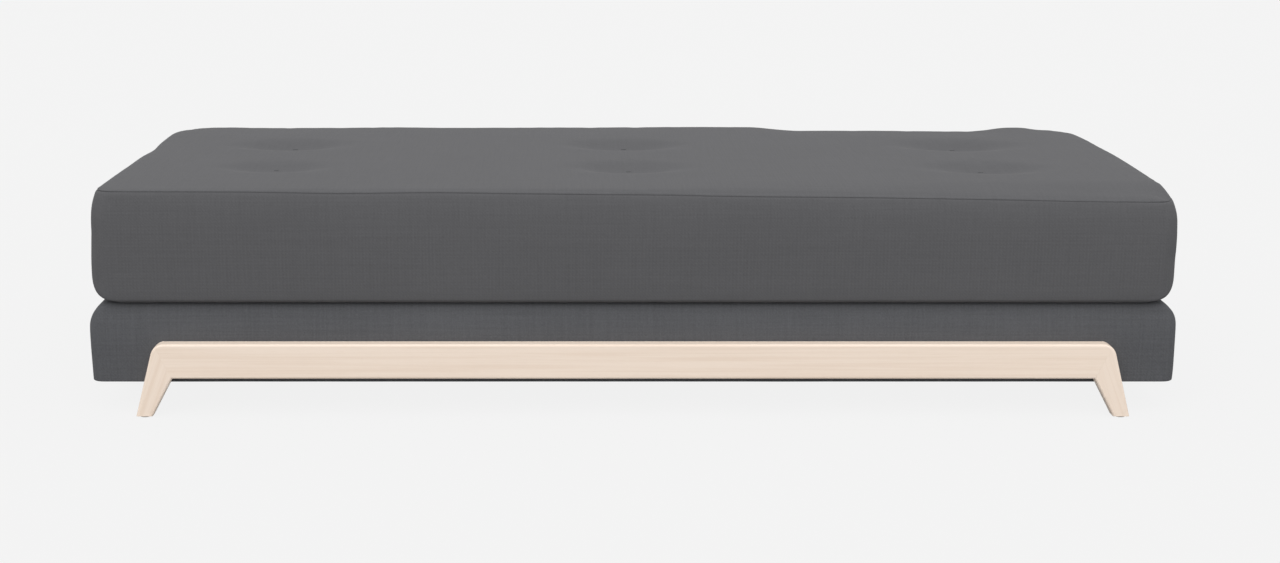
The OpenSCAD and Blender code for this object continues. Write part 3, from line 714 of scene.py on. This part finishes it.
    def fill_core(self, shape):
        """Cuts the foam core that fills the cover."""
        gap, cell, chamfer = 0.006, 0.03, 0.008
        top = shape.thick - gap
        levels = [(gap, 0.0, self.low_in, gap + chamfer)]
        levels += [(gap, self.low_h * (1 - math.cos(g)), self.low_in * (1 - math.sin(g)), gap)
                   for g in quarter(3)]
        levels += [(gap + (top - self.high_h - gap) * t, self.low_h * (1 - t), 0.0, gap)
                   for t in (0.25, 0.5, 0.75, 1.0)]
        levels += [(top - self.high_h * (1 - s), 0.0, self.high_in * s * s, gap)
                   for s in (0.5, 0.9)]
        levels.append((top, 0.0, self.high_in, gap + chamfer))
        form = self.cut(shape, levels, cell, gap)
        core = new_piece("mattress_core_foam", form.points, form.faces,
                         open_cell_foam("mattress_foam", "#efe8d4", "#cfc6ac"))
        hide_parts("mattress_core")
        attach(core, "mattress")


class DAYBED_OT_tuft_ties(bpy.types.Operator):
    """Sews the six ties: an overcast bar in each dimple, its twine and the knot below the core"""
    bl_idname = "daybed.tuft_ties"
    bl_label = "Tuft ties"

    def execute(self, context):
        shape = MattressShape(context.scene.daybed_mattress)
        thread, core, bar, bar_turns = 0.0005, 0.0009, 0.010, 9
        twine, knot, knot_turns = 0.0011, 0.0022, 3
        points, faces = [], []
        for x, y in shape.tufts:
            top, foot = shape.seam + shape.rise(x, y) + shape.sag(x, y), shape.knot + twine
            sweep(points, faces, [(x + bar * (t - 0.5), y + core * math.cos(g),
                                   top + core * math.sin(g)) for t, g in coil(bar_turns)], thread)
            sweep(points, faces, [(x + knot * math.cos(g), y + knot * math.sin(g),
                                   foot + 2 * twine * t) for t, g in coil(knot_turns)], twine)
            sweep(points, faces, [(x, y, foot + (top - foot) * t) for t in (0, 0.5, 1)], twine)
        ties = new_piece("tuft_tie_twine", points, faces,
                         webbing("waxed_twine", "#4e4e50", "#5e5e60"))
        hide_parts("tuft_ties")
        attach(ties, "mattress")
        return {"FINISHED"}


class DAYBED_OT_base_cover(bpy.types.Operator):
    """Cuts the base cover, drawn tight over the box and hemmed under it"""
    bl_idname = "daybed.base_cover"
    bl_label = "Base cover"

    def execute(self, context):
        low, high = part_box("base_cover")
        half = ((high[0] - low[0]) / 2, (high[1] - low[1]) / 2)
        height = high[2] - low[2]
        top_in, top_h, top_power, hem_r, hem_step = 0.036, 0.048, 1.14, 0.002, 0.004
        hem, cell, thickness, corner, tight = 0.040, 0.016, 0.0012, 0.021, 0.32
        ripple, left_lean, right_foot, right_lean, top_draw = 0.0007, 0.0025, 0.0012, 0.0015, 0.0085
        levels = [(thickness, 0.0, 0.0, hem), (0.0, 0.0, 0.0, hem), (0.0, 0.0, 0.0, hem * 0.6),
                  (0.0, 0.0, 0.0, hem_r + hem_step)]
        levels += [(hem_r * (1 - math.cos(g)), 0.0, 0.0, hem_r * (1 - math.sin(g)))
                   for g in quarter(3)]
        count = round((height - top_h) / cell)
        levels += [(height * t, -top_h * t, 0.0, 0.0) for t in (k / count for k in range(1, count))]
        levels += [(height, -top_h * (1 - math.sin(g) ** top_power),
                    top_in * (1 - math.cos(g) ** top_power), 0.0) for g in quarter(8)[:-1]]
        levels.append((height, 0.0, top_in, 0.0))
        form = Form(half, [corner] * 3, cell, levels, tight)

        def border(level, i, j):
            """A place on the border. The left end leans out to its top, the right one is turned in
            at its foot and leans out at its top, and the front and the rear draw in there."""
            h = level[0] + level[1] * form.ease(i, j)
            x, y = form.plan(i, j, level)
            u, v = x / half[0], y / half[1]
            wave = ripple * noise.noise(Vector((x * 9, y * 9, h * 14)))
            if u < 0:
                lean = left_lean * (1 - smooth_step(h, span=0.1))
            else:
                lean = right_foot * max(0.0, 1 - h / 0.009) ** 2
                lean -= right_lean * smooth_step(h, 0.1, 0.03)
            recess = top_draw * smooth_step(h, 0.095, 0.05)
            return x + u * (wave - lean), y + v * (wave - recess), low[2] + h

        def lid(i, j):
            x, y = form.plan(i, j, levels[-1], (0.0, top_draw))
            return x, y, high[2]

        form.build(border, lid)
        # Painted shade: the base's cloth is the mattress's fabric made darker, and a little bluer,
        # to stand for the shade that the base sits in.
        cloth = woven_upholstery("base_weave_painted_shade", tinted(
            context.scene.daybed_finish.fabric, 0.92, 0.94, 0.96), contrast=0.20)
        cover = new_piece("base_cover_cloth", form.points, form.faces, cloth)
        subdivide(cover)
        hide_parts("base_cover")
        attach(cover, "base")
        return {"FINISHED"}


class DAYBED_OT_fold_strip(bpy.types.Operator):
    """Sews the strip of webbing that joins the mattress to the base"""
    bl_idname = "daybed.fold_strip"
    bl_label = "Fold strip"

    def execute(self, context):
        lower_low, lower_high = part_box("fold_strip_lower")
        upper_low, upper_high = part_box("fold_strip_upper")
        half_l, columns, leaf_steps, roll_steps = lower_high[0], 96, 4, 8
        thin = (upper_high[2] - upper_low[2]) / 2
        roll = upper_high[2] - thin - FOLD_Z
        leaf = [k / leaf_steps for k in range(leaf_steps + 1)]
        path = [(upper_low[1] + t * (FOLD_Y - upper_low[1]), FOLD_Z + roll) for t in leaf]
        path += [(FOLD_Y + roll * math.sin(g), FOLD_Z + roll * math.cos(g))
                 for g in (math.pi * k / roll_steps for k in range(1, roll_steps))]
        path += [(FOLD_Y + t * (lower_low[1] - FOLD_Y), FOLD_Z - roll) for t in leaf]
        points = [(-half_l + 2 * half_l * c / columns, y, z)
                  for y, z in path for c in range(columns + 1)]
        row = columns + 1
        faces = [(r * row + c, r * row + c + 1, (r + 1) * row + c + 1, (r + 1) * row + c)
                 for r in range(len(path) - 1) for c in range(columns)]
        strip = new_piece("fold_strip_webbing", points, faces,
                          webbing("cotton_webbing", "#3c3c3e", "#515154"))
        shell = strip.modifiers.new("thickness", "SOLIDIFY")
        shell.thickness, shell.offset = 2 * thin, 0.0
        bpy.context.view_layer.objects.active = strip
        bpy.ops.object.modifier_apply(modifier=shell.name)
        cut = sum(math.dist(a, b) for a, b in zip(path, path[1:]))
        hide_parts("fold_strip_upper", "fold_strip_lower")
        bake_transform(strip)
        return {"FINISHED"}


class DAYBED_OT_dust_cloth(bpy.types.Operator):
    """Stretches the dust cloth under the box and staples its edge"""
    bl_idname = "daybed.dust_cloth"
    bl_label = "Dust cloth and staples"

    def execute(self, context):
        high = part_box("dust_cover")[1]
        half = (high[0], high[1])
        thick, sag, waves, columns, rows = 0.0005, 0.0025, 0.0007, 96, 40
        points, faces = [], []
        for r in range(rows + 1):
            for c in range(columns + 1):
                u, v = 2 * c / columns - 1, 2 * r / rows - 1
                x, y = u * half[0], v * half[1]
                loose = (1 - u ** 4) * (1 - v ** 4)
                ripple = waves * noise.noise(Vector((x * 6, y * 11, 0.4)))
                points.append((x, y, high[2] - thick - loose * (sag + ripple)))
        for r in range(rows):
            for c in range(columns):
                a = r * (columns + 1) + c
                faces.append((a, a + 1, a + columns + 2, a + columns + 1))
        cloth = new_piece("dust_cloth", points, faces,
                          pressed_fibre("spun_bonded_cloth", "#1e1e20", "#38383b", 1.2))
        shell = cloth.modifiers.new("thickness", "SOLIDIFY")
        shell.thickness, shell.offset = thick, 0.0
        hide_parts("dust_cover")
        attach(cloth, "base")
        self.staple(half, high[2] - 1.5 * thick)
        return {"FINISHED"}

    def staple(self, half, level):
        """Drives a row of staples along each edge of the cloth."""
        pitch, inset, crown, wire, leg = 0.045, 0.007, 0.010, 0.0005, 0.003
        points, faces = [], []
        for along, across, turned in ((half[0], half[1], False), (half[1], half[0], True)):
            count = round(2 * (along - 2 * inset) / pitch)
            for k in range(count + 1):
                middle = (along - 2 * inset) * (2 * k / count - 1)
                for side in (-1, 1):
                    run = [(middle + s * crown / 2, level + rise) for s, rise in (
                        (-1, leg), (-1, 0.0), (-0.8, -wire), (0.8, -wire), (1, 0.0), (1, leg))]
                    edge = side * (across - inset)
                    sweep(points, faces, [(edge, a, z) if turned else (a, edge, z)
                                          for a, z in run], wire)
        staples = new_piece("dust_cloth_staples", points, faces,
                            zinc_plate("galvanised_wire", "#b9bcc0", "#8f9397"))
        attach(staples, "base")


class DAYBED_OT_leg_frames(bpy.types.Operator):
    """Finishes both leg frames: rails, tenons, and splayed legs with their grain along them"""
    bl_idname = "daybed.leg_frames"
    bl_label = "Leg frames"

    def execute(self, context):
        timber, leg_lean = list(context.scene.daybed_finish.timber), math.radians(69)
        dress_nodes(["front_rail", "rear_rail", "leg_tenons"],
                    lacquered_ash("lacquered_ash", timber))
        for side, turn in (("left", leg_lean), ("right", -leg_lean)):
            dress_nodes(["front_leg_" + side, "rear_leg_" + side],
                        lacquered_ash("lacquered_ash_" + side, timber, turn))
        return {"FINISHED"}


class DAYBED_OT_inner_parts(bpy.types.Operator):
    """Finishes the foam, slats, box, fixings and glides"""
    bl_idname = "daybed.inner_parts"
    bl_label = "Inner parts and fixings"

    def execute(self, context):
        dress_nodes(["base_foam"],
                    open_cell_foam("base_pad_foam", "#efe8d4", "#cfc6ac"))
        dress_nodes(["slats", "box_board_front", "box_board_rear", "box_end_left", "box_end_right",
                     "cross_rail_left", "cross_rail_right", "corner_blocks", "ledger_front",
                     "ledger_rear"], birch_plywood("birch_plywood", "#e0c79f", "#b8935f"))
        dress_nodes(["slat_caps"], moulded_polypropylene("moulded_polypropylene", "#262628",
                                                         "#343437"))
        dress_nodes(["frame_inserts", "frame_bolts", "frame_washers"],
                    zinc_plate("zinc_plate", "#b9bcc0", "#8f9397"))
        dress_nodes(["tuft_washers", "foot_glides"],
                    pressed_fibre("pressed_felt", "#77777a", "#a3a3a5", 0.9))
        return {"FINISHED"}


class DAYBED_OT_stage(bpy.types.Operator):
    """Lays the floor and sets the light and the camera"""
    bl_idname = "daybed.stage"
    bl_label = "Stage"

    def execute(self, context):
        scene, settings = context.scene, context.scene.daybed_stage
        scene.view_settings.view_transform = "Standard"
        half, tilt, roll, softness = 40.0, math.radians(40), math.radians(-6), math.radians(70)
        paint = painted_floor("painted_floor", colour("#9c9c9c"), list(settings.backdrop),
                              settings.shadow)
        floor = new_piece("floor", [(-half, -half, 0), (half, -half, 0), (half, half, 0),
                                    (-half, half, 0)], [(0, 1, 2, 3)], paint, smooth=False)
        self.air(scene, settings)
        key = bpy.data.lights.new("overhead_softbox", "SUN")
        key.energy, key.angle = settings.sun, softness
        lamp = bpy.data.objects.new("overhead_softbox", key)
        lamp.rotation_euler = (tilt, roll, 0)
        scene.collection.objects.link(lamp)
        self.camera(scene)
        return {"FINISHED"}

    def air(self, scene, settings):
        """Even light from all round, behind a backdrop that only the camera sees."""
        world = bpy.data.worlds.new("studio_air")
        world.use_nodes = True
        tree = world.node_tree
        tree.nodes.clear()
        light = add_node(tree, "ShaderNodeBackground", {
            "Color": colour("#ffffff"), "Strength": settings.sky})
        shown = add_node(tree, "ShaderNodeBackground", {
            "Color": list(settings.backdrop), "Strength": 1.0})
        both = add_node(tree, "ShaderNodeMixShader", {
            0: background_rays(tree), 1: light.outputs[0], 2: shown.outputs[0]})
        add_node(tree, "ShaderNodeOutputWorld", {"Surface": both.outputs[0]})
        scene.world = world

    def camera(self, scene):
        """Stands the camera where the photograph was taken from."""
        frame_px, focal_px, shift_px, pitch, sensor, far = 1280, 1976, 84.3, 12.763, 36.0, 200
        across, back, up = -0.143, -3.968, 1.055
        camera = bpy.data.cameras.new("photo_camera")
        camera.sensor_width = sensor
        camera.lens = focal_px / frame_px * sensor
        camera.shift_x = shift_px / frame_px
        camera.clip_end = far
        stand = bpy.data.objects.new("photo_camera", camera)
        stand.location = (across, back, up)
        stand.rotation_euler = (math.radians(90 - pitch), 0, 0)
        scene.collection.objects.link(stand)
        scene.camera = stand


STEPS = (DAYBED_OT_stage, DAYBED_OT_mattress, DAYBED_OT_tuft_ties, DAYBED_OT_base_cover,
         DAYBED_OT_fold_strip, DAYBED_OT_dust_cloth, DAYBED_OT_leg_frames, DAYBED_OT_inner_parts)


class DAYBED_PT_panel(bpy.types.Panel):
    """Lists the daybed's steps in the order that they run"""
    bl_label = "Daybed"
    bl_idname = "DAYBED_PT_panel"
    bl_space_type = "VIEW_3D"
    bl_region_type = "UI"
    bl_category = "Daybed"

    def draw(self, context):
        for step in STEPS:
            self.layout.operator(step.bl_idname)
        scene = context.scene
        for group in (scene.daybed_mattress, scene.daybed_finish, scene.daybed_stage):
            box = self.layout.box()
            for name in group.bl_rna.properties.keys():
                if name not in ("rna_type", "name"):
                    box.prop(group, name)


CLASSES = (DaybedMattress, DaybedFinish, DaybedStage) + STEPS + (DAYBED_PT_panel,)


def register():
    """Registers the classes and hangs the settings on the scene."""
    for cls in CLASSES:
        bpy.utils.register_class(cls)
    bpy.types.Scene.daybed_mattress = bpy.props.PointerProperty(type=DaybedMattress)
    bpy.types.Scene.daybed_finish = bpy.props.PointerProperty(type=DaybedFinish)
    bpy.types.Scene.daybed_stage = bpy.props.PointerProperty(type=DaybedStage)


def unregister():
    """Takes the settings and the classes away again."""
    del bpy.types.Scene.daybed_mattress
    del bpy.types.Scene.daybed_finish
    del bpy.types.Scene.daybed_stage
    for cls in reversed(CLASSES):
        bpy.utils.unregister_class(cls)


def main():
    """Dresses the daybed."""
    register()
    for step in STEPS:
        group, name = step.bl_idname.split(".")
        getattr(getattr(bpy.ops, group), name)()


if __name__ == "__main__":
    main()
